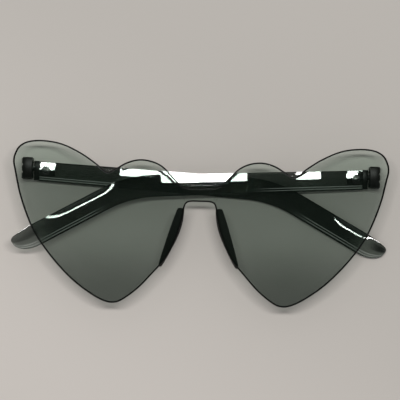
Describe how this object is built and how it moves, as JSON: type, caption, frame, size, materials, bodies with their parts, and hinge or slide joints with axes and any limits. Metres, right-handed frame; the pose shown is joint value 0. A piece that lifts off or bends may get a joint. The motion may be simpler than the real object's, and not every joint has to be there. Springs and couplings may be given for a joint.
{
  "type": "sunglasses",
  "caption": "Rimless sunglasses with a one-piece smoky lens cut as joined hearts, folding clear plastic temples on black hinges and black nose pads, stored folded.",
  "frame": {"origin": "on the table under the middle of the outline, with the glasses folded and the front of the lens up", "axes": "+X along the width towards the hinge of the temple that folds next to the lens, +Y up the face towards the hearts' tops, +Z out of the front of the lens"},
  "size_m": [0.1463, 0.0624, 0.0134],
  "materials": {
    "smoky_lens": "clear smoky grey-green plastic, polished",
    "smoky_temple": "clear smoky grey plastic, polished",
    "black_hinge": "black, satin gloss",
    "screw_steel": "turned steel",
    "black_rivet": "black, polished",
    "pad_rubber": "black soft plastic, satin"
  },
  "bodies": {
    "front": {"heart_lens": "smoky_lens", "hinge_mount_left": "black_hinge", "hinge_mount_right": "black_hinge", "hinge_screw_left": "screw_steel", "hinge_screw_right": "screw_steel", "nose_pad_left": "pad_rubber", "nose_pad_right": "pad_rubber"},
    "left_arm": {"temple_left": "smoky_temple", "hinge_tongue_left": "black_hinge", "temple_rivet_left": "black_rivet"},
    "right_arm": {"temple_right": "smoky_temple", "hinge_tongue_right": "black_hinge", "temple_rivet_right": "black_rivet"}
  },
  "joints": [
    {"name": "left_hinge", "type": "hinge", "parent": "front", "child": "left_arm", "pos_m": [-0.0678, 0.0202, 0.00244], "axis": [0, 1, 0], "range_deg": [0, 91.4]},
    {"name": "right_hinge", "type": "hinge", "parent": "front", "child": "right_arm", "pos_m": [0.0678, 0.0202, 0.00244], "axis": [0, -1, 0], "range_deg": [0, 94.6]}
  ]
}
